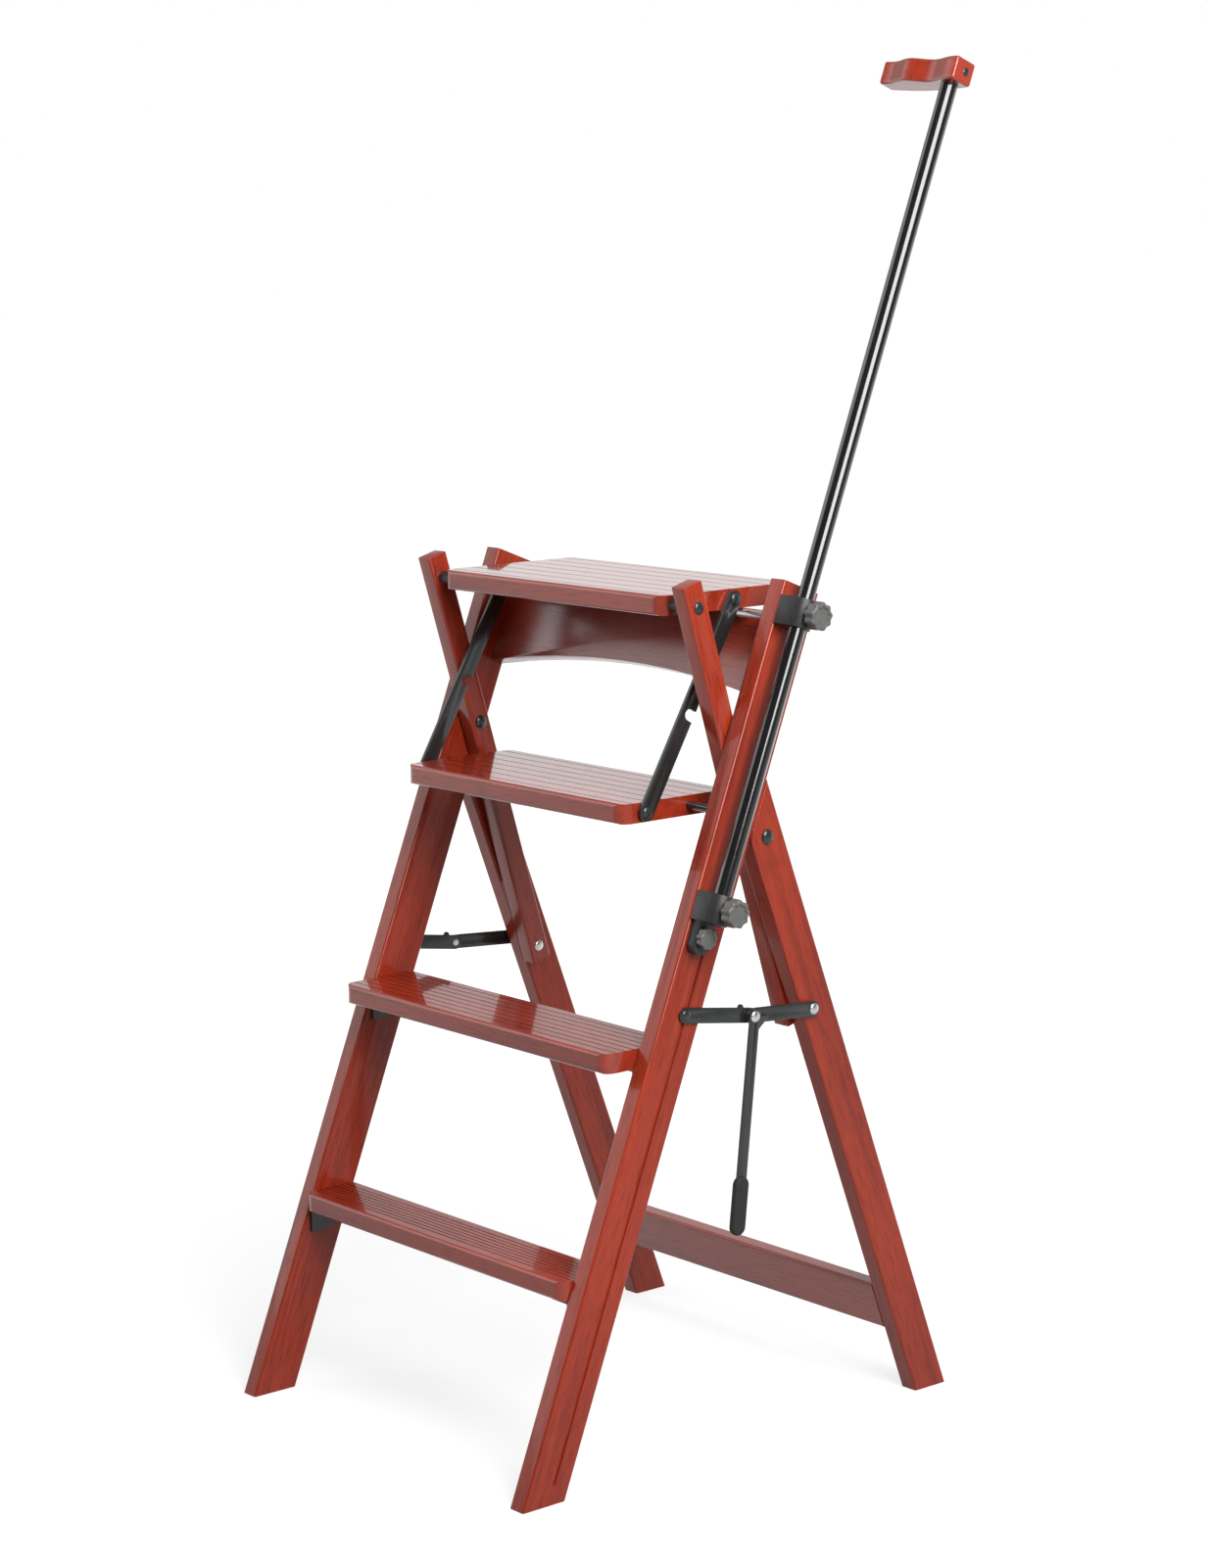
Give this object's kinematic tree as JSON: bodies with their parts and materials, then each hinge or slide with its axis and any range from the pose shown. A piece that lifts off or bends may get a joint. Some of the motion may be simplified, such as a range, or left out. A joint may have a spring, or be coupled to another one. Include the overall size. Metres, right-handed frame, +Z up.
{
  "type": "wooden stepladder",
  "caption": "Folding wooden stepladder with ribbed treads, a hinged platform linked to the top tread, spreaders and a clamped handrail pole with a cross grip.",
  "frame": {"origin": "middle of the footprint's bounding box, on the floor", "axes": "+Z up, the climbing side faces -Y, the handrail is at +X"},
  "size_m": [0.5522, 0.597, 1.43],
  "materials": {
    "wood": "red-brown stain under gloss lacquer",
    "tread": "red-brown stain, gloss lacquer, ribbed top",
    "handle_wood": "red-brown stain, gloss lacquer",
    "black_metal": "satin black paint",
    "steel": "zinc plated",
    "black_plastic": "moulded, satin",
    "rubber": "matt"
  },
  "bodies": {
    "front_frame": {"stile_right": "wood", "stile_left": "wood", "step_1": "tread", "step_2": "tread", "step_1_brackets": "black_metal", "step_2_brackets": "black_metal", "apron": "wood", "arm_right": "wood", "arm_left": "wood", "arm_pads": "wood", "arm_pad_screws": "steel", "arm_bolts": "black_metal", "fold_bolts": "black_metal", "platform_rest_pins": "steel", "step_3_pins": "black_metal", "spreader_front_screws": "steel", "pole_clamp_lower": "black_plastic", "pole_clamp_upper": "black_plastic"},
    "rear_frame": {"rear_leg_right": "wood", "rear_leg_left": "wood", "rear_crossbar": "wood", "spreader_rear_screws": "steel"},
    "platform": {"platform": "tread", "platform_hinge_pins": "black_metal", "platform_hinge_spacers": "black_plastic", "platform_link_pins": "black_metal"},
    "step_3": {"step_3": "tread"},
    "handrail": {"pole_tube": "black_metal", "pole_grip": "handle_wood", "grip_screw": "steel"},
    "upper_knob": {"pole_knob_upper": "black_plastic"},
    "lower_knob": {"pole_knob_lower": "black_plastic"},
    "lock_knob": {"pole_lock_knob": "black_plastic"},
    "release_bar": {"release_bar": "black_metal", "release_sleeve": "rubber"},
    "spreader_front_right": {"spreader_front_right": "black_metal"},
    "spreader_rear_right": {"spreader_rear_right": "black_metal", "spreader_rivet_right": "steel"},
    "link_bar_right": {"link_bar_right": "black_metal", "link_rivet_right": "black_metal"},
    "spreader_front_left": {"spreader_front_left": "black_metal"},
    "spreader_rear_left": {"spreader_rear_left": "black_metal", "spreader_rivet_left": "steel"},
    "link_bar_left": {"link_bar_left": "black_metal", "link_rivet_left": "black_metal"}
  },
  "joints": [
    {"name": "rear_fold", "type": "hinge", "parent": "front_frame", "child": "rear_frame", "pos_m": [-0.02295, 0.03598, 0.643], "axis": [-1, 0, 0], "range_deg": [0, 42]},
    {"name": "platform_lift", "type": "hinge", "parent": "front_frame", "child": "platform", "pos_m": [-0.02295, -0.03443, 0.8825], "axis": [1, 0, 0], "range_deg": [0, 58]},
    {"name": "step_3_fold", "type": "hinge", "parent": "front_frame", "child": "step_3", "pos_m": [-0.02295, -0.01553, 0.6745], "axis": [1, 0, 0], "range_deg": [-45.99, 0]},
    {"name": "spreader_front_right_fold", "type": "hinge", "parent": "front_frame", "child": "spreader_front_right", "pos_m": [0.22205, -0.07949, 0.47402], "axis": [1, 0, 0], "range_deg": [0, 67.1]},
    {"name": "spreader_rear_right_fold", "type": "hinge", "parent": "rear_frame", "child": "spreader_rear_right", "pos_m": [0.22205, 0.09562, 0.45393], "axis": [1, 0, 0], "range_deg": [-52.51, 0]},
    {"name": "link_bar_right_swing", "type": "hinge", "parent": "platform", "child": "link_bar_right", "pos_m": [0.15905, 0.04557, 0.8825], "axis": [1, 0, 0], "range_deg": [-43.5, 0]},
    {"name": "spreader_front_left_fold", "type": "hinge", "parent": "front_frame", "child": "spreader_front_left", "pos_m": [-0.26795, -0.07949, 0.47402], "axis": [1, 0, 0], "range_deg": [0, 67.1]},
    {"name": "spreader_rear_left_fold", "type": "hinge", "parent": "rear_frame", "child": "spreader_rear_left", "pos_m": [-0.26795, 0.09562, 0.45393], "axis": [1, 0, 0], "range_deg": [-52.51, 0]},
    {"name": "link_bar_left_swing", "type": "hinge", "parent": "platform", "child": "link_bar_left", "pos_m": [-0.20495, 0.04557, 0.8825], "axis": [1, 0, 0], "range_deg": [-43.5, 0]},
    {"name": "release_bar_hang", "type": "hinge", "parent": "spreader_rear_right", "child": "release_bar", "pos_m": [0.22205, 0.00807, 0.46048], "axis": [1, 0, 0], "range_deg": [0, 94.51]},
    {"name": "handrail_slide", "type": "slide", "parent": "front_frame", "child": "handrail", "axis": [0, 0.3697, 0.9291], "range_m": [0, 0.3]},
    {"name": "upper_knob_turn", "type": "hinge", "parent": "front_frame", "child": "upper_knob", "pos_m": [0.25705, 0.06362, 0.87203], "axis": [1, 0, 0], "continuous": true},
    {"name": "lower_knob_turn", "type": "hinge", "parent": "front_frame", "child": "lower_knob", "pos_m": [0.25705, -0.05179, 0.58203], "axis": [1, 0, 0], "continuous": true},
    {"name": "lock_knob_turn", "type": "hinge", "parent": "front_frame", "child": "lock_knob", "pos_m": [0.22205, -0.06325, 0.55323], "axis": [1, 0, 0], "continuous": true}
  ],
  "couplings": [
    {"joint": "step_3_fold", "follows": "platform_lift", "ratio": -0.79207},
    {"joint": "spreader_front_right_fold", "follows": "rear_fold", "ratio": 1.5964},
    {"joint": "spreader_rear_right_fold", "follows": "rear_fold", "ratio": -1.2491},
    {"joint": "link_bar_right_swing", "follows": "platform_lift", "ratio": -0.74907},
    {"joint": "spreader_front_left_fold", "follows": "rear_fold", "ratio": 1.5964},
    {"joint": "spreader_rear_left_fold", "follows": "rear_fold", "ratio": -1.2491},
    {"joint": "link_bar_left_swing", "follows": "platform_lift", "ratio": -0.74907},
    {"joint": "release_bar_hang", "follows": "rear_fold", "ratio": 2.2491}
  ]
}
